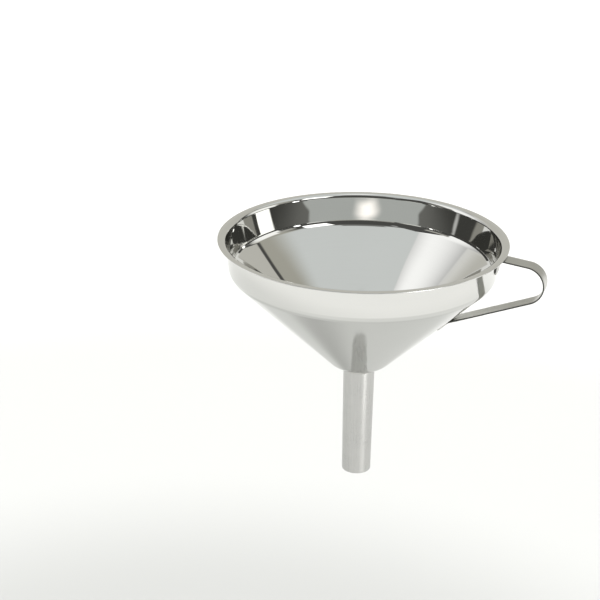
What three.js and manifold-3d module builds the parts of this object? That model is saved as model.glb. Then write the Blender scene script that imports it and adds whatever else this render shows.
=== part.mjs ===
// A stainless steel canning funnel: a pressed bowl with a turned-out lip, a tapered spout welded under it, and
// a flat strip bent to a handle and spot welded to the bowl. Millimetres, +Z up, handle on +X.
// The origin is the centre of the circle where the bowl meets the spout, which is where a bottle's neck holds it.
import * as THREE from 'three';
import { mergeVertices } from 'three/addons/utils/BufferGeometryUtils.js';
import Module from 'manifold-3d';

// Driving dimensions. Depths are measured down from the top of the lip.
const SHEET = 0.6; // bowl and spout
const CLEARANCE = 0.3; // between neighbouring pieces
const MOUTH_RADIUS = 73; // over the lip
const WALL_RADIUS = 69.39; // outer surface of the band, carried up to the lip's top
const WALL_TAPER = 6.0; // degrees from upright
const LIP_BEND = 2.0; // middle of the sheet
const SHOULDER_DEPTH = 16.437; // where the outer surfaces of band and cone would meet
const SHOULDER_BEND = 6.2;
const CONE_SLOPE = 44.8; // degrees from level
const FOOT_RISE = 4.2; // from where the cone's slope, carried on, would reach the spout up to where the bowl does
const FOOT_SLOPE = 12; // degrees from level, of the bowl's foot beside the spout
const FOOT_BEND = 16.7; // from the cone into the foot
const NECK_BEND = 1.3;
const NECK_LENGTH = 6;
const SPOUT_TOP_RADIUS = 8.17;
const SPOUT_TIP_RADIUS = 7.68;
const SPOUT_LENGTH = 60.9; // from the bowl to the tip
const WELD_FILLET = 2;
const WELD_DEPTH = 1.2; // from the bowl down to the spout's own top edge

const STRIP_WIDTH = 9;
const STRIP_THICKNESS = 0.7;
const HANDLE_REACH = 93; // from the funnel's axis to the far side of the loop
const HANDLE_DEPTH = 1.15; // where the upper leg leaves the band, just under the lip
const UPPER_LEG_SLOPE = 5.8; // degrees below level, going out
const LOWER_LEG_SLOPE = 22.7; // degrees below level, coming in
const LOOP_BEND = 9.5; // middle of the strip
const TAB_BEND = 1.3;
const UPPER_TAB_LENGTH = 8;
const LOWER_TAB_LENGTH = 8;
const SPOT_RADIUS = 1.2;
const SPOT_SPACING = 4.4; // between the two spot welds of a tab
const SPOT_FROM_END = 2.9; // from a tab's end to its spot welds

// How finely the round shapes are cut
const BOWL_SIDES = 72;
const SPOUT_SIDES = 48;
const SPOT_SIDES = 16;

const tan = (degrees) => Math.tan(THREE.MathUtils.degToRad(degrees));
const cos = (degrees) => Math.cos(THREE.MathUtils.degToRad(degrees));
const point = (radius, height) => new THREE.Vector2(radius, height);

// A unit vector at this many degrees from level, anticlockwise in the (radius, height) plane
function heading(degrees) {
  return point(1, 0).rotateAround(point(0, 0), THREE.MathUtils.degToRad(degrees));
}

function leftOf(direction) {
  return point(-direction.y, direction.x);
}

// Where the line through a along u crosses the line through b along v
function crossing(a, u, b, v) {
  const along = b.clone().sub(a).cross(v) / u.cross(v);
  return a.clone().addScaledVector(u, along);
}

// The middle line of a bent sheet, as places with the direction to their left. Each corner but the first and the
// last is rounded by an arc of its bend radius.
function bentLine(corners) {
  const first = corners[0];
  const last = corners[corners.length - 1];
  const startDirection = corners[1].at.clone().sub(first.at).normalize();
  const endDirection = last.at.clone().sub(corners[corners.length - 2].at).normalize();
  const line = [{ at: first.at, left: leftOf(startDirection) }];
  for (let i = 1; i < corners.length - 1; i += 1) {
    const { at, bend, steps } = corners[i];
    const before = at.clone().sub(corners[i - 1].at).normalize();
    const after = corners[i + 1].at.clone().sub(at).normalize();
    const turn = Math.atan2(before.cross(after), before.dot(after));
    const side = Math.sign(turn);
    const start = at.clone().addScaledVector(before, -bend * Math.tan(Math.abs(turn) / 2));
    const centre = start.addScaledVector(leftOf(before), side * bend);
    for (let step = 0; step <= steps; step += 1) {
      const left = leftOf(before).rotateAround(point(0, 0), (turn * step) / steps);
      line.push({ at: centre.clone().addScaledVector(left, -side * bend), left });
    }
  }
  line.push({ at: last.at, left: leftOf(endDirection) });
  return line;
}

// The closed outline of a sheet of this thickness about its middle line
function sheetOutline(corners, thickness) {
  const line = bentLine(corners);
  const leftSide = line.map(({ at, left }) => at.clone().addScaledVector(left, thickness / 2));
  const rightSide = line.map(({ at, left }) => at.clone().addScaledVector(left, -thickness / 2));
  return [...leftSide, ...rightSide.reverse()];
}

// Turns a closed outline, clockwise in the (radius, height) plane, about Z
function turned(outline, sides) {
  return new THREE.LatheGeometry([...outline, outline[0]].reverse(), sides).rotateX(Math.PI / 2);
}

const wasm = await Module();
wasm.setup();

function solidOf(geometry) {
  const bare = geometry.clone().deleteAttribute('normal').deleteAttribute('uv');
  const merged = mergeVertices(bare, 1e-4);
  return new wasm.Manifold(
    new wasm.Mesh({
      numProp: 3,
      vertProperties: merged.attributes.position.array,
      triVerts: new Uint32Array(merged.index.array),
    })
  );
}

function geometryOf(solid) {
  const mesh = solid.getMesh();
  const geometry = new THREE.BufferGeometry();
  geometry.setAttribute('position', new THREE.BufferAttribute(mesh.vertProperties, 3));
  geometry.setIndex(new THREE.BufferAttribute(mesh.triVerts, 1));
  geometry.computeVertexNormals();
  return geometry;
}

const mirrorSteel = new THREE.MeshStandardMaterial({ color: 0xd6d7d5, roughness: 0.08, metalness: 1 });
const satinSteel = new THREE.MeshStandardMaterial({ color: 0xc4c5c0, roughness: 0.32, metalness: 1 });
const weldSteel = new THREE.MeshStandardMaterial({ color: 0xb4b3ae, roughness: 0.4, metalness: 1 });

// Everything below is placed by its depth under the lip, and the whole funnel is then lifted by FOOT_DEPTH.
const wallRadiusAt = (height) => WALL_RADIUS + height * tan(WALL_TAPER);
const SHOULDER_RADIUS = wallRadiusAt(-SHOULDER_DEPTH);
const CONE_DEPTH = SHOULDER_DEPTH + (SHOULDER_RADIUS - SPOUT_TOP_RADIUS) * tan(CONE_SLOPE);
const FOOT_DEPTH = CONE_DEPTH - FOOT_RISE;
const bandDown = heading(-90 - WALL_TAPER);
const coneDown = heading(180 + CONE_SLOPE);
const footDown = heading(180 + FOOT_SLOPE);

// A point on the line that lies this far outside the outer surface of the band, the cone or the foot
function outsideBand(distance, height) {
  return point(wallRadiusAt(height) + distance / cos(WALL_TAPER), height);
}

function outsideCone(distance, radius) {
  const height = -CONE_DEPTH + (radius - SPOUT_TOP_RADIUS) * tan(CONE_SLOPE);
  return point(radius, height - distance / cos(CONE_SLOPE));
}

function outsideFoot(distance, radius) {
  const height = -FOOT_DEPTH + (radius - SPOUT_TOP_RADIUS) * tan(FOOT_SLOPE);
  return point(radius, height - distance / cos(FOOT_SLOPE));
}

const spoutRadiusAt = (depth) =>
  THREE.MathUtils.lerp(SPOUT_TOP_RADIUS, SPOUT_TIP_RADIUS, (depth - FOOT_DEPTH) / SPOUT_LENGTH);

// The neck's outer surface clears the narrowest part of the spout that it stands in.
const NECK_DEPTH = FOOT_DEPTH + NECK_LENGTH;
const NECK_RADIUS = spoutRadiusAt(NECK_DEPTH) - SHEET - CLEARANCE;

function bowl() {
  const middle = SHEET / 2;
  const bandLine = outsideBand(-middle, 0);
  const coneLine = outsideCone(-middle, SHOULDER_RADIUS);
  const footLine = outsideFoot(-middle, SPOUT_TOP_RADIUS);
  const neckMiddle = point(NECK_RADIUS - middle, -NECK_DEPTH);
  const corners = [
    { at: point(MOUTH_RADIUS, -middle) },
    { at: crossing(point(0, -middle), heading(0), bandLine, bandDown), bend: LIP_BEND, steps: 5 },
    { at: crossing(bandLine, bandDown, coneLine, coneDown), bend: SHOULDER_BEND, steps: 5 },
    { at: crossing(coneLine, coneDown, footLine, footDown), bend: FOOT_BEND, steps: 6 },
    { at: crossing(footLine, footDown, neckMiddle, heading(90)), bend: NECK_BEND, steps: 4 },
    { at: neckMiddle },
  ];
  return new THREE.Mesh(turned(sheetOutline(corners, SHEET), BOWL_SIDES), mirrorSteel);
}

function spout() {
  const top = FOOT_DEPTH + WELD_DEPTH + CLEARANCE;
  const tip = FOOT_DEPTH + SPOUT_LENGTH;
  const outline = [
    point(spoutRadiusAt(top) - SHEET, -top),
    point(spoutRadiusAt(top), -top),
    point(spoutRadiusAt(tip), -tip),
    point(spoutRadiusAt(tip) - SHEET, -tip),
  ];
  return new THREE.Mesh(turned(outline, SPOUT_SIDES), satinSteel);
}

// The bead fills the corner under the foot, clear of it and of the neck, down to the spout's top edge. Its face is
// a hollow arc that runs out into the spout's surface, and its thin upper edge is left off.
function spoutWeld() {
  const bottom = FOOT_DEPTH + WELD_DEPTH;
  const inner = spoutRadiusAt(bottom) - SHEET;
  const underFoot = outsideFoot(CLEARANCE, inner);
  const spoutFace = point(SPOUT_TOP_RADIUS, -FOOT_DEPTH);
  const hollowFace = bentLine([
    { at: outsideFoot(CLEARANCE, SPOUT_TOP_RADIUS + WELD_FILLET) },
    { at: crossing(underFoot, footDown, spoutFace, heading(-90)), bend: WELD_FILLET, steps: 6 },
    { at: point(SPOUT_TOP_RADIUS, -bottom) },
  ]).slice(2, -1);
  const outline = [
    underFoot,
    ...hollowFace.map(({ at }) => at),
    point(spoutRadiusAt(bottom), -bottom),
    point(inner, -bottom),
  ];
  return new THREE.Mesh(turned(outline, SPOUT_SIDES), weldSteel);
}

// The strip's middle line: down the band as a tab, out, round the loop, in again, and down the cone as a tab
const tabOffset = CLEARANCE + STRIP_THICKNESS / 2;
const upperLeg = heading(-UPPER_LEG_SLOPE);
const lowerLeg = heading(180 + LOWER_LEG_SLOPE);
const upperCorner = outsideBand(tabOffset, -HANDLE_DEPTH);
const loopAcross = HANDLE_REACH - STRIP_THICKNESS / 2 - LOOP_BEND;
const loopCentre = crossing(
  upperCorner.clone().addScaledVector(leftOf(upperLeg), -LOOP_BEND),
  upperLeg,
  point(loopAcross, 0),
  heading(90)
);
const lowerLegStart = loopCentre.clone().addScaledVector(leftOf(lowerLeg), LOOP_BEND);
const lowerCorner = crossing(lowerLegStart, lowerLeg, outsideCone(tabOffset, SHOULDER_RADIUS), coneDown);
const upperTabEnd = upperCorner.clone().addScaledVector(bandDown, UPPER_TAB_LENGTH);
const lowerTabEnd = lowerCorner.clone().addScaledVector(coneDown, LOWER_TAB_LENGTH);

// The two spot welds of a tab, as short cylinders across the strip
function spotPair(tabEnd, tabDown, radius, length) {
  const middle = tabEnd.clone().addScaledVector(tabDown, -SPOT_FROM_END);
  const across = leftOf(tabDown);
  return [-1, 1].map((side) => {
    const geometry = new THREE.CylinderGeometry(radius, radius, length, SPOT_SIDES);
    geometry.rotateZ(Math.atan2(across.y, across.x) - Math.PI / 2);
    geometry.translate(middle.x, middle.y, (side * SPOT_SPACING) / 2);
    return geometry.rotateX(Math.PI / 2);
  });
}

function handle() {
  const corners = [
    { at: upperTabEnd },
    { at: upperCorner, bend: TAB_BEND, steps: 5 },
    { at: crossing(upperCorner, upperLeg, lowerLegStart, lowerLeg), bend: LOOP_BEND, steps: 16 },
    { at: lowerCorner, bend: TAB_BEND, steps: 3 },
    { at: lowerTabEnd },
  ];
  const side = new THREE.Shape(sheetOutline(corners, STRIP_THICKNESS));
  const strip = new THREE.ExtrudeGeometry(side, { depth: STRIP_WIDTH, bevelEnabled: false });
  strip.translate(0, 0, -STRIP_WIDTH / 2).rotateX(Math.PI / 2);
  const holes = [
    ...spotPair(upperTabEnd, bandDown, SPOT_RADIUS + CLEARANCE, 2 * STRIP_THICKNESS),
    ...spotPair(lowerTabEnd, coneDown, SPOT_RADIUS + CLEARANCE, 2 * STRIP_THICKNESS),
  ];
  const drilled = holes.reduce((solid, hole) => solid.subtract(solidOf(hole)), solidOf(strip));
  return new THREE.Mesh(geometryOf(drilled), satinSteel);
}

function spotWelds(tabEnd, tabDown) {
  return spotPair(tabEnd, tabDown, SPOT_RADIUS, STRIP_THICKNESS).map(
    (geometry) => new THREE.Mesh(geometry, weldSteel)
  );
}

const [upperSpotRight, upperSpotLeft] = spotWelds(upperTabEnd, bandDown);
const [lowerSpotRight, lowerSpotLeft] = spotWelds(lowerTabEnd, coneDown);
const pieces = {
  bowl: bowl(),
  spout: spout(),
  spout_weld: spoutWeld(),
  handle: handle(),
  upper_spot_weld_right: upperSpotRight,
  upper_spot_weld_left: upperSpotLeft,
  lower_spot_weld_right: lowerSpotRight,
  lower_spot_weld_left: lowerSpotLeft,
};

const funnel = new THREE.Group();
funnel.name = 'canning_funnel';
funnel.position.z = FOOT_DEPTH;
for (const [name, mesh] of Object.entries(pieces)) {
  mesh.name = name;
  funnel.add(mesh);
}

export default funnel;
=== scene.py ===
"""The looks of a stainless steel canning funnel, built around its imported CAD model.

Everything is in metres, +Z up, with the handle on +X and the origin where the bowl meets the spout.
Outlines are drawn in the half plane (radius, height) as complex numbers, radius + height * 1j, and turned
about Z.
"""

import cmath
import math

import bmesh
import bpy
from mathutils import Matrix, Vector


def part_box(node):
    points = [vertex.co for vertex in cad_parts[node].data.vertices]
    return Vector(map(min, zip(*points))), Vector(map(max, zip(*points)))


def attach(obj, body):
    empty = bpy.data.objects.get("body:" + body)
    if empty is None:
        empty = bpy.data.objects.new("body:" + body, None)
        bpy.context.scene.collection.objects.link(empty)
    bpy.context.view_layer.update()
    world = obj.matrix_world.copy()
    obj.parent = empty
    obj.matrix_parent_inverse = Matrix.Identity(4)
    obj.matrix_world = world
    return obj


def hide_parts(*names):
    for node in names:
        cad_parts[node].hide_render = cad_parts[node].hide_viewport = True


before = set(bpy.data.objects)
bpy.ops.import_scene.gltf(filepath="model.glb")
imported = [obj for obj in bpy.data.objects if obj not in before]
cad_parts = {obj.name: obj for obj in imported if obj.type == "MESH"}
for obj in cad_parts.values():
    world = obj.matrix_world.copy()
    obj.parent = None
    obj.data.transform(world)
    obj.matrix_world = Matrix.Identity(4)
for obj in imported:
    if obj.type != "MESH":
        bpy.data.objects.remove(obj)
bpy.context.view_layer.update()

MM = 0.001
SHEET = 0.6 * MM  # bowl and spout
MOUTH_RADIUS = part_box("bowl")[1].x
LIP_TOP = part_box("bowl")[1].z
WALL_RADIUS = 69.39 * MM  # the band's outer surface, carried up to the lip's top
WALL_TAPER = 6.0  # degrees from upright
LIP_BEND = 2.0 * MM  # middle of the sheet
SHOULDER_DEPTH = 16.437 * MM  # below the lip's top
BAND_CROWN = 0.1 * MM  # how far the band bulges
BAND_TOP_DEPTH = 2.5 * MM
BAND_BOTTOM_DEPTH = 13.5 * MM
CROWN_SHARE = 0.98  # of the band's height that the bulge's arc takes up
SHOULDER_BEND = 6.2 * MM
CONE_SLOPE = 44.8  # degrees from level
FOOT_RISE = 4.2 * MM  # how much higher the foot reaches the spout than the cone's slope, carried on, would
FOOT_SLOPE = 12  # degrees from level, of the bowl's foot beside the spout
FOOT_BEND = 16.7 * MM  # from the cone into the foot
NECK_BEND = 1.3 * MM
NECK_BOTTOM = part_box("bowl")[0].z
SPOUT_TOP_RADIUS = 8.17 * MM
SPOUT_TIP_RADIUS = 7.68 * MM
SPOUT_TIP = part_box("spout")[0].z
WELD_FILLET = 2 * MM

STRIP_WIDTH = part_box("handle")[1].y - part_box("handle")[0].y
STRIP_THICKNESS = 0.7 * MM
HANDLE_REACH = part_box("handle")[1].x
HANDLE_DEPTH = 1.15 * MM
UPPER_LEG_SLOPE = 5.8  # degrees below level, going out
LOWER_LEG_SLOPE = 22.7  # degrees below level, coming in
LOOP_BEND = 9.5 * MM
TAB_BEND = 1.3 * MM
TAB_LENGTH = 8 * MM

SPOT_RADIUS = 1.5 * MM  # of the dimple that the electrode leaves
SPOT_DEPTH = 0.12 * MM
SPOT_SPACING = 4.4 * MM
SPOT_FROM_END = 2.9 * MM
NUGGET_RADIUS = 1.1 * MM
NUGGET_THICKNESS = 0.04 * MM
NUGGET_RINGS = 8

CAD_CLEARANCE = 0.3 * MM  # between the CAD model's neighbouring pieces
TOUCH = 0.02 * MM  # between pieces that lie on each other
HAIR = 0.001 * MM  # keeps a slanted cut edge inside the CAD model's box
BURR = 0.25 * MM  # rounding of the sheet's cut edges
STRIP_BURR = 0.2 * MM
STRIP_STEP = 0.35 * MM
TIP_RADIUS = 2.5 * MM  # of the tabs' corners
TIP_STEP = 6  # degrees
CURVED_REACH = 2 * MM  # how far off the bowl the strip is still curved across
WELD_REACH = 1.3 * MM
BOWL_SIDES = 384
SPOUT_SIDES = 192
SPOT_SIDES = 32
ARC_STEP = math.radians(4)
LONGEST_SPAN = 3 * MM

# The steel's patterns, in cells to the metre
SMUDGES = 55
SLOW_WAVES = 42
CLOUDS = 30
RINGS = 2600
HAIRLINES = 5200
PATCHES = 90
STREAKS_ALONG_SPOUT = 45
STREAKS_ALONG_STRIP = 70
STREAKS_ACROSS_STRIP = 4200
STREAKS_AROUND_SPOUT = 70  # to the radian
SCRATCH_SHARE = 0.55  # how dense the scratches are beside the streaks
RIPPLES = 900
GRAIN = 5000
HEAT_TINT = 260
BEAD_WAVER = 300

# The noise values where each pattern begins and where it is full
HAIRLINE_EDGES = (0.66, 0.78)
SMUDGE_EDGES = (0.48, 0.72)
STREAK_EDGES = (0.3, 0.7)
SCRATCH_EDGES = (0.68, 0.8)
TINT_EDGES = (0.45, 0.65)

# How far the patterns stand out
PATCH_LIFT = 0.02 * MM
STREAK_LIFT = 0.004 * MM
SCRATCH_LIFT = -0.006 * MM
RIPPLE_LIFT = 0.05 * MM
GRAIN_LIFT = 0.006 * MM

WELD_DARK = (0.50, 0.49, 0.465)
WELD_LIGHT = (0.60, 0.595, 0.585)
WELD_ROUGHNESS = (0.2, 0.42)
LEAST_RADIUS = 0.1 * MM  # keeps the patterns round the axis finite
LIP_WEAR = (MOUTH_RADIUS - 1.2 * MM, MOUTH_RADIUS - 0.1 * MM)
CUT_EDGE_SHADE = (0.07, 0.07, 0.065)  # painted shade on the strip's cut edges
CUT_EDGE_SHADE_SPAN = (STRIP_WIDTH / 2 - 0.2 * MM, STRIP_WIDTH / 2 - 0.12 * MM)
CUT_EDGE_SHADE_FADE = 1 * MM  # over which the painted shade on the cut edges fades out along the lower tab
CREVICE_SHADE = (0.1, 0.1, 0.09)  # painted shade in the crevice between the bowl and the weld bead
CREVICE_SHADE_HEIGHTS = (-0.45 * MM, -0.2 * MM)  # where its painted shade begins and where it is full
BEAD_EDGE_SHADE = (0.3, 0.3, 0.29)  # painted shade along the bead's lower edge, where it meets the spout
BEAD_EDGE_SHADE_HEIGHTS = (-0.9 * MM, -1 * MM)  # where its painted shade begins and where it is full
BEAD_UNEVENNESS = 0.5 * MM

CAMERA_AZIMUTH = 17.5  # degrees from the front towards the handle
CAMERA_ELEVATION = 20.136
CAMERA_DISTANCE = 0.63677  # from the middle of the mouth
CAMERA_LENS = 75.97  # mm, as the sensor's width
CAMERA_ROLL = 1.672
CAMERA_AIM = (0.04972, 0.04963, -1)  # past the middle of the mouth
SENSOR_WIDTH = 36
CAMERA_CLIP = 0.01

FLOOR_HEIGHT = -1.5
FLOOR_REACH = 40
# The floor's colours, from the middle of the shadow painted on it outwards
FLOOR_COLOURS = [
    (0.4, 0.402, 0.39, 1),
    (0.56, 0.562, 0.55, 1),
    (0.7, 0.7, 0.688, 1),
    (0.87, 0.864, 0.852, 1),
]
PAINTED_SHADOW_PLACE = (-0.3, 0.93)  # middle of the painted shadow, left of the funnel and behind it, as the camera sees it
PAINTED_SHADOW_EDGES = [(0, 0.45), (0.9, 1.5), (2.2, 3.2)]  # where each colour of the painted shadow gives way to the next
POOL_PLACE = (3.6, -3.3)  # the second lamp's pool of light, in front of the funnel and to its right
POOL_HEIGHT = 3  # of the lamp over the floor
POOL_SPREAD = 60  # degrees
POOL_POWER = 2600  # watts
BACKGROUND = (1.2, 1.2, 1.2, 1)
KEY_STRENGTH = 2.5
KEY_SPREAD = 15  # degrees
KEY_PLACE = (150, 66)
BOUNCES = 16
FACED_AWAY = 0.05  # a panel fades out this close to edge-on
LEAST_AHEAD = 0.01  # keeps a panel's slopes finite
ROOM = (0.09, 0.09, 0.085, 1)
DIFFUSER = (0.8, 0.83, 0.825)
SIDE_WALL = (0.5, 0.49, 0.45)
# What the steel mirrors, each panel over the ones before it: the (azimuth, elevation) faced, then the left,
# right, lower and upper edge, each as two slopes from that direction, where the panel is whole and where it
# has ended, then its colour
PANELS = [
    # The back wall, the right wall, a large soft box and a lamp at the right, and a soft box at the left
    ((0, 10), ((-1.1, -1.6), (1.19, 1.23), (-1, -1.1), (0.85, 0.95)), (0.66, 0.65, 0.6)),
    ((68, 36), ((-0.13, -0.16), (0.3, 0.7), (-0.3, -0.35), (0.4, 0.5)), (0.5, 0.49, 0.43)),
    ((84, 22), ((-0.15, -0.5), (0.25, 0.29), (-0.6, -0.8), (0.15, 0.25)), (1.35, 1.35, 1.32)),
    ((119, 8), ((-0.03, -0.07), (0.03, 0.07), (-0.3, -0.35), (0.1, 0.15)), (5, 5, 5)),
    ((-80, 30), ((-0.31, -0.33), (-0.1, 0.75), (-1.2, -1.3), (0.7, 0.8)), (1.35, 1.35, 1.35)),
    # The dim ceiling, then the overhead diffuser and its two wings beside the opening in front
    ((0, 90), ((-0.3, -0.8), (0.3, 0.8), (-0.5, -0.6), (0.45, 1.1)), (0.27, 0.27, 0.26)),
    ((0, 90), ((-0.585, -0.605), (0.72, 1.1), (-0.75, -0.9), (0.4, 0.46)), DIFFUSER),
    ((0, 90), ((-0.585, -0.605), (-0.295, -0.26), (0.3, 0.2), (0.56, 0.66)), DIFFUSER),
    ((0, 90), ((0.295, 0.26), (0.72, 1.1), (0.3, 0.2), (0.56, 0.66)), DIFFUSER),
    # A soft box and a small lamp in front, the side walls, and the diffuser's bright middle
    ((135, 36), ((-0.2, -0.23), (0.15, 0.19), (-0.2, -0.24), (0.19, 0.23)), (2.6, 2.6, 2.55)),
    ((-148, 41), ((-0.01, -0.07), (0.01, 0.07), (-0.01, -0.06), (0.01, 0.06)), (0.9, 0.9, 0.9)),
    ((-109, 22), ((-0.18, -0.22), (0.2, 0.24), (-0.06, -0.1), (0.08, 0.12)), SIDE_WALL),
    ((103, 27), ((-0.12, -0.16), (0.13, 0.17), (-0.1, -0.14), (0.1, 0.14)), SIDE_WALL),
    ((0, 88), ((0.02, -0.13), (0.05, 0.2), (-0.08, -0.16), (-0.04, 0.025)), (2.5, 2.4, 2.36)),
]


def tan(degrees):
    return math.tan(math.radians(degrees))


def cos(degrees):
    return math.cos(math.radians(degrees))


def heading(degrees):
    """A unit vector this many degrees above level, pointing away from the axis."""
    return cmath.rect(1, math.radians(degrees))


def cross(a, b):
    return (a.conjugate() * b).imag


def crossing(a, u, b, v):
    """Where the line through a along u meets the line through b along v."""
    return a + u * cross(b - a, v) / cross(u, v)


def span(start, end, step):
    """Points from start to end, no further apart than a step, without start itself."""
    steps = max(1, math.ceil(abs(end - start) / step))
    return [start + (end - start) * i / steps for i in range(1, steps + 1)]


def bent_line(corners, step=LONGEST_SPAN):
    """The middle line of a bent sheet, as pairs of place and left normal.

    Its corners are pairs of place and bend radius.
    """
    places = [at for at, _ in corners]
    ways = [(b - a) / abs(b - a) for a, b in zip(places, places[1:])]
    line = [(places[0], 1j * ways[0])]
    for (at, bend), before, after in zip(corners[1:-1], ways, ways[1:]):
        turn = cmath.phase(after / before)
        side = math.copysign(1, turn)
        start = at - before * bend * math.tan(abs(turn) / 2)
        centre = start + 1j * before * side * bend
        line += [(p, 1j * before) for p in span(line[-1][0], start, step)]
        steps = max(2, math.ceil(abs(turn) / min(ARC_STEP, step / bend)))
        for i in range(1, steps + 1):
            left = 1j * before * cmath.rect(1, turn * i / steps)
            line.append((centre - left * side * bend, left))
    line += [(p, 1j * ways[-1]) for p in span(line[-1][0], places[-1], step)]
    return line


def arc_normals(start, end, steps=6):
    """Unit vectors turning evenly from start to end."""
    turn = cmath.phase(end / start)
    return [start * cmath.rect(1, turn * i / steps) for i in range(steps + 1)]


def sheet_outline(line, thickness, burr):
    """The closed outline of a sheet about its middle line, with rounded cut edges.

    It comes as pairs of place and outward normal.
    """
    half = thickness / 2

    def side(pairs, sign):
        return [(at + sign * left * half, sign * left) for at, left in pairs]

    def cut_edge(at, left, onward):
        middle = at - onward * burr
        out = left * (half - burr)
        first = [(middle + out + n * burr, n) for n in arc_normals(left, onward)]
        second = [(middle - out + n * burr, n) for n in arc_normals(onward, -left)]
        return first + second

    (start, start_left), (end, end_left) = line[0], line[-1]
    return (
        side(line[1:-1], 1)
        + cut_edge(end, end_left, -1j * end_left)
        + side(reversed(line[1:-1]), -1)
        + cut_edge(start, -start_left, 1j * start_left)
    )


def mesh_object(name, vertices, faces, normals=None):
    """A smooth closed mesh, with its own normals on its vertices if they are given."""
    mesh = bpy.data.meshes.new(name)
    mesh.from_pydata(vertices, [], faces)
    bm = bmesh.new()
    bm.from_mesh(mesh)
    bmesh.ops.recalc_face_normals(bm, faces=bm.faces)
    bm.to_mesh(mesh)
    bm.free()
    mesh.shade_smooth()
    if normals:
        mesh.normals_split_custom_set_from_vertices(normals)
    piece = bpy.data.objects.new(name, mesh)
    bpy.context.scene.collection.objects.link(piece)
    return piece


def turned(name, outline, sides):
    """A closed outline turned about Z, with its own normals on its vertices."""
    around = [cmath.rect(1, math.tau * i / sides) for i in range(sides)]
    vertices = [(at.real * a.real, at.real * a.imag, at.imag) for a in around for at, _ in outline]
    normals = [(n.real * a.real, n.real * a.imag, n.imag) for a in around for _, n in outline]
    count = len(outline)
    faces = []
    for i in range(sides):
        here = i * count
        there = (i + 1) % sides * count
        for j in range(count):
            k = (j + 1) % count
            faces.append((here + j, here + k, there + k, there + j))
    return mesh_object(name, vertices, faces, normals)


# The outer surfaces of the band, the cone and the foot
def wall_radius_at(height):
    return WALL_RADIUS + (height - LIP_TOP) * tan(WALL_TAPER)


def outside_band(distance, height):
    """A point on the line that lies this far outside the band's outer surface."""
    return complex(wall_radius_at(height) + distance / cos(WALL_TAPER), height)


def outside_cone(distance, radius):
    """A point on the line that lies this far outside the cone's outer surface."""
    height = (radius - SPOUT_TOP_RADIUS) * tan(CONE_SLOPE) - FOOT_RISE
    return complex(radius, height - distance / cos(CONE_SLOPE))


def outside_foot(distance, radius):
    """A point on the line that lies this far outside the foot's outer surface."""
    return complex(radius, (radius - SPOUT_TOP_RADIUS) * tan(FOOT_SLOPE) - distance / cos(FOOT_SLOPE))


def spout_radius_at(height):
    return SPOUT_TOP_RADIUS + (SPOUT_TIP_RADIUS - SPOUT_TOP_RADIUS) * height / SPOUT_TIP


BAND_DOWN = heading(-90 - WALL_TAPER)
CONE_DOWN = heading(180 + CONE_SLOPE)
FOOT_DOWN = heading(180 + FOOT_SLOPE)
SHOULDER_RADIUS = wall_radius_at(LIP_TOP - SHOULDER_DEPTH)


def make_bowl():
    middle = SHEET / 2
    lip = complex(MOUTH_RADIUS, LIP_TOP - middle)
    cone = outside_cone(-middle, SHOULDER_RADIUS)
    foot = outside_foot(-middle, SPOUT_TOP_RADIUS)
    neck = complex(spout_radius_at(NECK_BOTTOM) - SHEET - TOUCH - middle, NECK_BOTTOM)
    high = outside_band(-middle, LIP_TOP - BAND_TOP_DEPTH)
    low = outside_band(-middle, LIP_TOP - BAND_BOTTOM_DEPTH)
    crown = (high + low) / 2 + 1j * BAND_DOWN * 2 * BAND_CROWN
    half = abs(high - low) / 2
    turn = 2 * math.atan(2 * BAND_CROWN / half)
    corners = [
        (lip, 0),
        (crossing(lip, -1, high, crown - high), LIP_BEND),
        (crown, half / math.tan(turn / 2) * CROWN_SHARE),
        (crossing(low, low - crown, cone, CONE_DOWN), SHOULDER_BEND),
        (crossing(cone, CONE_DOWN, foot, FOOT_DOWN), FOOT_BEND),
        (crossing(foot, FOOT_DOWN, neck, 1j), NECK_BEND),
        (neck, 0),
    ]
    return turned("bowl_sheet", sheet_outline(bent_line(corners), SHEET, BURR), BOWL_SIDES)


def make_spout():
    inner = SPOUT_TOP_RADIUS - SHEET
    top = outside_foot(TOUCH, inner).imag
    corners = [
        (complex(spout_radius_at(top) - SHEET / 2, top), 0),
        (complex(spout_radius_at(SPOUT_TIP) - SHEET / 2, SPOUT_TIP + HAIR), 0),
    ]
    return turned("spout_tube", sheet_outline(bent_line(corners), SHEET, BURR), SPOUT_SIDES)


def make_weld():
    """The dressed bead in the corner under the foot: a hollow arc that runs out on both sides."""
    corner = complex(SPOUT_TOP_RADIUS, 0)
    line = bent_line(
        [
            (outside_foot(0, SPOUT_TOP_RADIUS + WELD_FILLET), 0),
            (corner, WELD_FILLET),
            (complex(spout_radius_at(-WELD_FILLET), -WELD_FILLET), 0),
        ]
    )
    face = [(at, left) for at, left in line if abs(at - corner) < WELD_REACH]
    return turned("weld_bead", [*face, (corner, -1)], SPOUT_SIDES)


def round_box(width, thickness, burr):
    """Places on the outline of the strip's section, across + offset * 1j, finely divided for its dimples."""
    half = complex(width / 2 - burr, thickness / 2 - burr)
    corners = [half, complex(-half.real, half.imag), -half, complex(half.real, -half.imag)]
    outline = []
    for quarter, centre in enumerate(corners):
        start = 1j**quarter
        arc = [centre + n * burr for n in arc_normals(start, start * 1j)]
        if outline:
            outline += span(outline[-1], arc[0], STRIP_STEP)[:-1]
        outline += arc
    return outline + span(outline[-1], outline[0], STRIP_STEP)[:-1]


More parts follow.
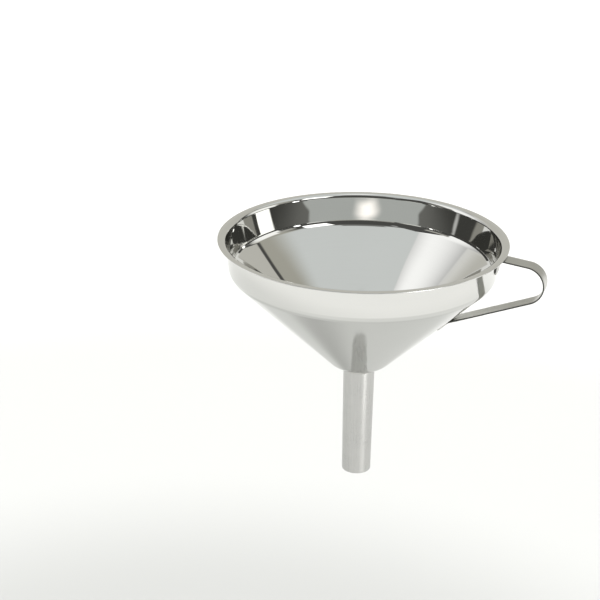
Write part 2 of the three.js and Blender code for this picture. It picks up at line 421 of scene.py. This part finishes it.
def strip_corners():
    """The corners of the strip's middle line: tab end, corner, loop, corner and tab end."""
    offset = STRIP_THICKNESS / 2
    upper_leg = heading(-UPPER_LEG_SLOPE)
    lower_leg = heading(180 + LOWER_LEG_SLOPE)
    under_lip = outside_band(offset + CAD_CLEARANCE, LIP_TOP - HANDLE_DEPTH)
    across = HANDLE_REACH - offset - LOOP_BEND
    loop_centre = crossing(under_lip - 1j * upper_leg * LOOP_BEND, upper_leg, complex(across, 0), 1j)
    lower_start = loop_centre + 1j * lower_leg * LOOP_BEND
    upper = crossing(under_lip, upper_leg, outside_band(offset + TOUCH, LIP_TOP), BAND_DOWN)
    lower = crossing(lower_start, lower_leg, outside_cone(offset + TOUCH, SHOULDER_RADIUS), CONE_DOWN)
    return [
        (upper + BAND_DOWN * TAB_LENGTH, 0),
        (upper, TAB_BEND),
        (crossing(upper, upper_leg, lower_start, lower_leg), LOOP_BEND),
        (lower, TAB_BEND),
        (lower + CONE_DOWN * TAB_LENGTH, 0),
    ]


def smooth(t):
    t = min(1, max(0, t))
    return t * t * (3 - 2 * t)


def on_strip(at, left, across, offset):
    """A point of the strip: this far across it and this far to the left of its middle line at this place.

    Close to the bowl the strip is curved across its width, as the bowl is.
    """
    off_band = abs(cross(BAND_DOWN, at - outside_band(0, LIP_TOP)))
    off_cone = abs(cross(CONE_DOWN, at - outside_cone(0, SHOULDER_RADIUS)))
    curved = 1 - smooth((min(off_band, off_cone) - STRIP_THICKNESS) / CURVED_REACH)
    place = at + left * offset
    drop = place.real - math.sqrt(place.real**2 - across**2)
    return (place.real - curved * drop, across, place.imag)


def dimple(across, along):
    """How deep a spot weld's electrode has marked a tab, this far from the middle of its end."""
    deepest = 0
    for side in (-1, 1):
        share = math.hypot(across - side * SPOT_SPACING / 2, along - SPOT_FROM_END) / SPOT_RADIUS
        if share < 1:
            deepest = SPOT_DEPTH * (1 - share**2) ** 2
    return deepest


def arc_inset(along, radius):
    """How far a rounding of this radius takes a side in, this far from the end."""
    short = max(0, radius - along)
    return radius - math.sqrt(radius**2 - short**2)


def make_handle():
    """The strip, swept along its middle line, with round tab ends and a dimple at each spot weld."""
    line = bent_line(strip_corners(), STRIP_STEP)
    (start, start_left), (end, end_left) = line[0], line[-1]
    steps = [TIP_RADIUS * (1 - math.cos(math.radians(a))) for a in range(0, 90, TIP_STEP)]
    middle = [(at, left) for at, left in line if min(abs(at - start), abs(at - end)) > TIP_RADIUS]
    stations = [(start - 1j * start_left * s, start_left) for s in steps] + middle
    stations += [(end + 1j * end_left * s, end_left) for s in reversed(steps)]
    section = round_box(STRIP_WIDTH, STRIP_THICKNESS, STRIP_BURR)
    half = STRIP_WIDTH / 2
    vertices = []
    for at, left in stations:
        outer = -1 if abs(at - start) < abs(at - end) else 1
        along = min(abs(at - start), abs(at - end))
        thinned = arc_inset(along, STRIP_BURR)
        narrowed = 1 - arc_inset(along, TIP_RADIUS) / half
        for place in section:
            across = place.real * narrowed
            offset = math.copysign(max(0, abs(place.imag) - thinned), place.imag)
            if offset * outer > 0:
                offset -= outer * dimple(across, along)
            vertices.append(on_strip(at, left, across, offset))
    count = len(section)
    faces = [tuple(range(count)), tuple(range(len(vertices) - count, len(vertices)))]
    for i in range(len(stations) - 1):
        for j in range(count):
            k = (j + 1) % count
            faces.append((i * count + j, i * count + k, (i + 1) * count + k, (i + 1) * count + j))
    return mesh_object("handle_strip", vertices, faces)


def make_spot(name, end, onward, side):
    """The fused face of a spot weld: a thin dished disc that lies in its dimple, on the tab's outer face."""
    left = -1j * onward
    rings = [NUGGET_RADIUS * i / NUGGET_RINGS for i in range(1, NUGGET_RINGS + 1)]
    lower = [(r, TOUCH / 2) for r in rings]
    upper = [(r, NUGGET_THICKNESS) for r in reversed(rings)]
    profile = [*lower, (NUGGET_RADIUS + NUGGET_THICKNESS / 3, NUGGET_THICKNESS / 2), *upper]
    vertices = []
    faces = []
    for i in range(SPOT_SIDES):
        turn = cmath.rect(1, math.tau * i / SPOT_SIDES)
        for radius, lift in profile:
            vertices.append((radius * turn, lift))
    count = len(profile)
    for i in range(SPOT_SIDES):
        there = (i + 1) % SPOT_SIDES
        for j in range(count - 1):
            faces.append((i * count + j, i * count + j + 1, there * count + j + 1, there * count + j))
    faces.append(tuple(i * count for i in range(SPOT_SIDES)))
    faces.append(tuple(i * count + count - 1 for i in range(SPOT_SIDES)))
    points = []
    for place, lift in vertices:
        across = side * SPOT_SPACING / 2 + place.real
        along = SPOT_FROM_END + place.imag
        offset = STRIP_THICKNESS / 2 - dimple(across, along) + lift
        points.append(on_strip(end + onward * along, left, across, offset))
    return mesh_object(name, points, faces)


class Graph:
    """Adds nodes to a tree. An input is a socket to link from, or a plain value to set."""

    def __init__(self, tree):
        self.tree = tree

    def node(self, kind, inputs=(), **settings):
        made = self.tree.nodes.new(kind)
        for name, value in settings.items():
            setattr(made, name, value)
        for key, value in dict(inputs).items():
            self.feed(made.inputs[key], value)
        return made

    def feed(self, socket, value):
        if isinstance(value, bpy.types.NodeSocket):
            self.tree.links.new(value, socket)
        else:
            socket.default_value = value

    def math(self, operation, *values):
        return self.node("ShaderNodeMath", enumerate(values), operation=operation).outputs[0]

    def dot(self, vector, direction):
        made = self.node("ShaderNodeVectorMath", {0: vector, 1: direction}, operation="DOT_PRODUCT")
        return made.outputs["Value"]

    def ramp(self, value, low, high, to_low=0, to_high=1):
        """Smoothly from to_low at low to to_high at high."""
        inputs = {"Value": value, "From Min": low, "From Max": high, "To Min": to_low, "To Max": to_high}
        return self.node("ShaderNodeMapRange", inputs, interpolation_type="SMOOTHSTEP").outputs[0]

    def join(self, *values):
        return self.node("ShaderNodeCombineXYZ", enumerate(values)).outputs[0]

    def noise(self, vector, scale, detail=2):
        inputs = {"Vector": vector, "Scale": scale, "Detail": detail}
        return self.node("ShaderNodeTexNoise", inputs).outputs[0]

    def mix(self, factor, first, second):
        made = self.node("ShaderNodeMix", {0: factor, 6: first, 7: second}, data_type="RGBA")
        return made.outputs[2]


def camera_side():
    """The turn from directions as the camera's side sees them to the funnel's own."""
    return Matrix.Rotation(math.radians(CAMERA_AZIMUTH), 3, "Z")


def toward(azimuth, elevation):
    """A direction as the camera's side sees it: azimuth 0 is away from the camera and 90 to the right."""
    a, e = math.radians(azimuth), math.radians(elevation)
    return Vector((math.sin(a) * math.cos(e), math.cos(a) * math.cos(e), math.sin(e)))


def make_camera():
    """The camera: in front, a little to the handle's side, looking down into the mouth."""
    camera = bpy.data.objects.new("camera", bpy.data.cameras.new("camera"))
    bpy.context.scene.collection.objects.link(camera)
    bpy.context.scene.camera = camera
    camera.data.sensor_width = SENSOR_WIDTH
    camera.data.lens = CAMERA_LENS
    camera.data.clip_start = CAMERA_CLIP
    back = camera_side() @ toward(180, CAMERA_ELEVATION)
    looking = (-back).to_track_quat("-Z", "Y")
    turn = Vector(CAMERA_AIM).rotation_difference(Vector((0, 0, -1)))
    roll = Matrix.Rotation(math.radians(CAMERA_ROLL), 3, "Z").to_quaternion()
    camera.location = Vector((0, 0, LIP_TOP)) + back * CAMERA_DISTANCE
    camera.rotation_mode = "QUATERNION"
    camera.rotation_quaternion = looking @ roll @ turn


class Steel(Graph):
    """A bare steel material. Its patterns are laid out in the funnel's own metres."""

    def __init__(self, name):
        self.material = bpy.data.materials.new(name)
        self.material.use_nodes = True
        super().__init__(self.material.node_tree)
        self.shader = self.tree.nodes["Principled BSDF"]
        self.shader.inputs["Metallic"].default_value = 1
        self.place = self.node("ShaderNodeTexCoord").outputs["Object"]
        split = self.node("ShaderNodeSeparateXYZ", {0: self.place})
        self.x, self.y, self.z = split.outputs
        x_square = self.math("MULTIPLY", self.x, self.x)
        y_square = self.math("MULTIPLY", self.y, self.y)
        distance = self.math("SQRT", self.math("ADD", x_square, y_square))
        self.radius = self.math("MAXIMUM", distance, LEAST_RADIUS)

    def scaled(self, value, factor):
        return self.math("MULTIPLY", value, factor)

    def around(self, turns, along, rate):
        """A place that changes by turns in each radian round the axis, and by rate times a socket."""
        x = self.scaled(self.math("DIVIDE", self.x, self.radius), turns)
        y = self.scaled(self.math("DIVIDE", self.y, self.radius), turns)
        return self.join(x, y, self.scaled(along, rate))

    def colour(self, dark, light, shade):
        self.feed(self.shader.inputs["Base Color"], self.mix(shade, (*dark, 1), (*light, 1)))

    def darkened(self, colour, mask):
        """Another colour over the one that is there, where the mask is 1."""
        below = self.shader.inputs["Base Color"].links[0].from_socket
        self.feed(self.shader.inputs["Base Color"], self.mix(mask, below, (*colour, 1)))

    def rough(self, low, high, shade):
        self.feed(self.shader.inputs["Roughness"], self.ramp(shade, 0, 1, low, high))

    def raised(self, *heights):
        """Heights as pairs of a socket and the metres that it stands for."""
        normal = None
        for height, metres in heights:
            inputs = {"Height": height, "Strength": 1, "Distance": metres}
            if normal:
                inputs["Normal"] = normal
            normal = self.node("ShaderNodeBump", inputs).outputs[0]
        self.feed(self.shader.inputs["Normal"], normal)


def polished_steel(name, dark, light, sharp, hazy, wave, ring):
    """Sheet polished as it turned: faint rings, slow waves, wiped smudges and a lip dulled by handling."""
    steel = Steel(name)
    profile = steel.math("ADD", steel.radius, steel.z)
    rings = steel.noise(steel.around(2, profile, RINGS), 1, 3)
    hairs = steel.ramp(steel.noise(steel.around(5, profile, HAIRLINES), 1, 1), *HAIRLINE_EDGES)
    smudges = steel.ramp(steel.noise(steel.place, SMUDGES, 4), *SMUDGE_EDGES)
    lip = steel.ramp(steel.radius, *LIP_WEAR)
    worn = steel.math("MAXIMUM", lip, steel.math("MULTIPLY", hairs, 0.5))
    haze = steel.math("ADD", steel.scaled(smudges, 0.45), steel.scaled(worn, 0.55))
    clouds = steel.noise(steel.place, CLOUDS, 2)
    tone = steel.math("ADD", steel.scaled(rings, 0.5), steel.scaled(clouds, 0.5))
    steel.colour(dark, light, tone)
    steel.rough(sharp, hazy, haze)
    steel.raised((steel.noise(steel.place, SLOW_WAVES, 1), wave), (rings, ring))
    return steel.material


def satin_steel(name, dark, light, fine, coarse, streaks, cut_edge_shade=False):
    """Steel rubbed one way with an abrasive: streaks, a few deeper scratches and patches rubbed less."""
    steel = Steel(name)
    line = steel.noise(streaks(steel, 1), 1, 4)
    scratches = steel.ramp(steel.noise(streaks(steel, SCRATCH_SHARE), 1, 1), *SCRATCH_EDGES)
    patches = steel.noise(steel.place, PATCHES, 3)
    tone = steel.math("ADD", steel.scaled(line, 0.7), steel.scaled(patches, 0.3))
    steel.colour(dark, light, steel.ramp(tone, *STREAK_EDGES))
    # Painted shade: the strip's cut edges are darkened, fading out along the lower tab
    if cut_edge_shade:
        edge = steel.ramp(steel.math("ABSOLUTE", steel.y), *CUT_EDGE_SHADE_SPAN)
        tab_start = strip_corners()[3][0].real
        off_tab = steel.ramp(steel.x, tab_start - CUT_EDGE_SHADE_FADE, tab_start)
        steel.darkened(CUT_EDGE_SHADE, steel.math("MULTIPLY", edge, off_tab))
    uneven = steel.math("ADD", steel.scaled(line, 0.5), steel.scaled(patches, 0.5))
    steel.rough(fine, coarse, steel.math("ADD", uneven, steel.scaled(scratches, 0.25)))
    steel.raised((patches, PATCH_LIFT), (line, STREAK_LIFT), (scratches, SCRATCH_LIFT))
    return steel.material


def along_spout(steel, share):
    return steel.around(STREAKS_AROUND_SPOUT * share, steel.z, STREAKS_ALONG_SPOUT)


def along_strip(steel, share):
    x = steel.scaled(steel.x, STREAKS_ALONG_STRIP)
    y = steel.scaled(steel.y, STREAKS_ACROSS_STRIP * share)
    return steel.join(x, y, steel.scaled(steel.z, STREAKS_ALONG_STRIP))


def weld_steel(name, bead=False):
    """Weld metal after it is ground and brushed: dull, slightly rippled, with a trace of heat tint."""
    steel = Steel(name)
    ripples = steel.noise(steel.place, RIPPLES, 3)
    grain = steel.noise(steel.place, GRAIN, 2)
    tint = steel.ramp(steel.noise(steel.place, HEAT_TINT, 2), *TINT_EDGES)
    steel.colour(WELD_DARK, WELD_LIGHT, tint)
    if bead:
        # Painted shade on the bead: the crevice under the bowl's foot and a line along the bead's lower edge
        uneven = steel.noise(steel.around(6, steel.z, BEAD_WAVER), 1, 2)
        height = steel.math("ADD", steel.z, steel.scaled(uneven, BEAD_UNEVENNESS))
        steel.darkened(CREVICE_SHADE, steel.ramp(height, *CREVICE_SHADE_HEIGHTS))
        steel.darkened(BEAD_EDGE_SHADE, steel.ramp(height, *BEAD_EDGE_SHADE_HEIGHTS))
    steel.rough(*WELD_ROUGHNESS, grain)
    steel.raised((ripples, RIPPLE_LIFT), (grain, GRAIN_LIFT))
    return steel.material


def place_piece(piece, node, slot, *materials):
    for material in materials:
        piece.data.materials.append(material)
    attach(piece, "root")
    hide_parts(node)


def outside_second(piece):
    """Gives the faces that look down or away from the axis the piece's second material."""
    for face in piece.data.polygons:
        outward = face.normal.x * face.center.x + face.normal.y * face.center.y
        flat = math.hypot(face.center.x, face.center.y)
        face.material_index = int(outward / flat > face.normal.z)


def make_pieces():
    inside = polished_steel(
        "mirror_inside",
        dark=(0.64, 0.64, 0.622),
        light=(0.7, 0.7, 0.68),
        sharp=0.025,
        hazy=0.11,
        wave=0.06 * MM,
        ring=0.0005 * MM,
    )
    outside = polished_steel(
        "polish_outside",
        dark=(0.62, 0.62, 0.603),
        light=(0.67, 0.67, 0.65),
        sharp=0.08,
        hazy=0.18,
        wave=0.1 * MM,
        ring=0.002 * MM,
    )
    spout = satin_steel(
        "satin_spout",
        dark=(0.42, 0.42, 0.41),
        light=(0.5, 0.5, 0.485),
        fine=0.22,
        coarse=0.36,
        streaks=along_spout,
    )
    strip = satin_steel(
        "satin_strip",
        dark=(0.42, 0.42, 0.395),
        light=(0.56, 0.56, 0.53),
        fine=0.24,
        coarse=0.38,
        streaks=along_strip,
        cut_edge_shade=True,
    )
    weld = weld_steel("dressed_weld")
    bowl = make_bowl()
    place_piece(bowl, "bowl", "polished_steel", inside, outside)
    outside_second(bowl)
    place_piece(make_spout(), "spout", "satin_steel", spout)
    place_piece(make_weld(), "spout_weld", "weld_steel", weld_steel("dressed_bead", bead=True))
    place_piece(make_handle(), "handle", "strip_steel", strip)
    corners = strip_corners()
    ends = {"upper": (corners[0][0], -BAND_DOWN), "lower": (corners[-1][0], -CONE_DOWN)}
    for level, (end, onward) in ends.items():
        for side, sign in {"right": -1, "left": 1}.items():
            spot = make_spot(f"{level}_spot_{side}", end, onward, sign)
            place_piece(spot, f"{level}_spot_weld_{side}", "weld_steel", weld)


def lay_panel(graph, direction, below, faced, edges, colour):
    """A soft-edged flat panel over what is there already."""
    facing = toward(*faced)
    across = toward(faced[0] + 90, 0)
    upward = across.cross(facing)
    ahead = graph.dot(direction, facing)
    mask = graph.ramp(ahead, 0, FACED_AWAY)
    for side, pair in ((across, edges[:2]), (upward, edges[2:])):
        slope = graph.math("DIVIDE", graph.dot(direction, side), graph.math("MAXIMUM", ahead, LEAST_AHEAD))
        for whole, ended in pair:
            mask = graph.math("MULTIPLY", mask, graph.ramp(slope, ended, whole))
    return graph.mix(mask, below, (*colour, 1))


def make_world():
    """What the steel mirrors above the floor: the panels in a dim room, on a white ground for the camera."""
    world = bpy.data.worlds.new("studio")
    bpy.context.scene.world = world
    world.use_nodes = True
    world.node_tree.nodes.clear()
    graph = Graph(world.node_tree)
    coordinates = graph.node("ShaderNodeTexCoord").outputs["Generated"]
    turn = {"Vector": coordinates, "Rotation": (0, 0, math.radians(-CAMERA_AZIMUTH))}
    direction = graph.node("ShaderNodeMapping", turn, vector_type="POINT").outputs["Vector"]
    colour = ROOM
    for panel in PANELS:
        colour = lay_panel(graph, direction, colour, *panel)
    to_camera = graph.node("ShaderNodeLightPath").outputs["Is Camera Ray"]
    colour = graph.mix(to_camera, colour, BACKGROUND)
    background = graph.node("ShaderNodeBackground", {"Color": colour, "Strength": 1})
    graph.node("ShaderNodeOutputWorld", {"Surface": background.outputs[0]})


def make_floor():
    """A pale floor well below the spout, with a soft shadow painted into its colour."""
    mesh = bpy.data.meshes.new("floor")
    signs = ((-1, -1), (1, -1), (1, 1), (-1, 1))
    corners = [(x * FLOOR_REACH, y * FLOOR_REACH, FLOOR_HEIGHT) for x, y in signs]
    mesh.from_pydata(corners, [], [(0, 1, 2, 3)])
    floor = bpy.data.objects.new("floor", mesh)
    bpy.context.scene.collection.objects.link(floor)
    material = bpy.data.materials.new("floor_paint")
    material.use_nodes = True
    graph = Graph(material.node_tree)
    shader = graph.tree.nodes["Principled BSDF"]
    middle = camera_side() @ Vector((*PAINTED_SHADOW_PLACE, FLOOR_HEIGHT))
    place = graph.node("ShaderNodeTexCoord").outputs["Object"]
    away = graph.node("ShaderNodeVectorMath", {0: place, 1: middle}, operation="DISTANCE").outputs["Value"]
    colour = FLOOR_COLOURS[0]
    for (near, far), lighter in zip(PAINTED_SHADOW_EDGES, FLOOR_COLOURS[1:]):
        colour = graph.mix(graph.ramp(away, near, far), colour, lighter)
    graph.feed(shader.inputs["Base Color"], colour)
    shader.inputs["Roughness"].default_value = 0.9
    shader.inputs["Specular IOR Level"].default_value = 0
    mesh.materials.append(material)


def make_lamp(name, kind, strength):
    """A lamp that the steel doesn't mirror, as its light and the object that holds it."""
    light = bpy.data.lights.new(name, kind)
    light.energy = strength
    holder = bpy.data.objects.new(name, light)
    bpy.context.scene.collection.objects.link(holder)
    holder.visible_glossy = False
    return light, holder


def make_lamps():
    """The key light, from the front right, and a pool of light on the floor, which the spout mirrors."""
    key, holder = make_lamp("key", "SUN", KEY_STRENGTH)
    key.angle = math.radians(KEY_SPREAD)
    holder.rotation_mode = "QUATERNION"
    holder.rotation_quaternion = (camera_side() @ toward(*KEY_PLACE)).to_track_quat("Z", "Y")
    pool, holder = make_lamp("pool", "SPOT", POOL_POWER)
    pool.spot_size = math.radians(POOL_SPREAD)
    pool.spot_blend = 1
    holder.location = camera_side() @ Vector((*POOL_PLACE, FLOOR_HEIGHT + POOL_HEIGHT))


def make_studio():
    bpy.context.scene.view_settings.view_transform = "Standard"
    make_world()
    make_floor()
    make_lamps()
    cycles = bpy.context.scene.cycles
    cycles.max_bounces = BOUNCES
    cycles.glossy_bounces = BOUNCES


make_pieces()
make_camera()
make_studio()
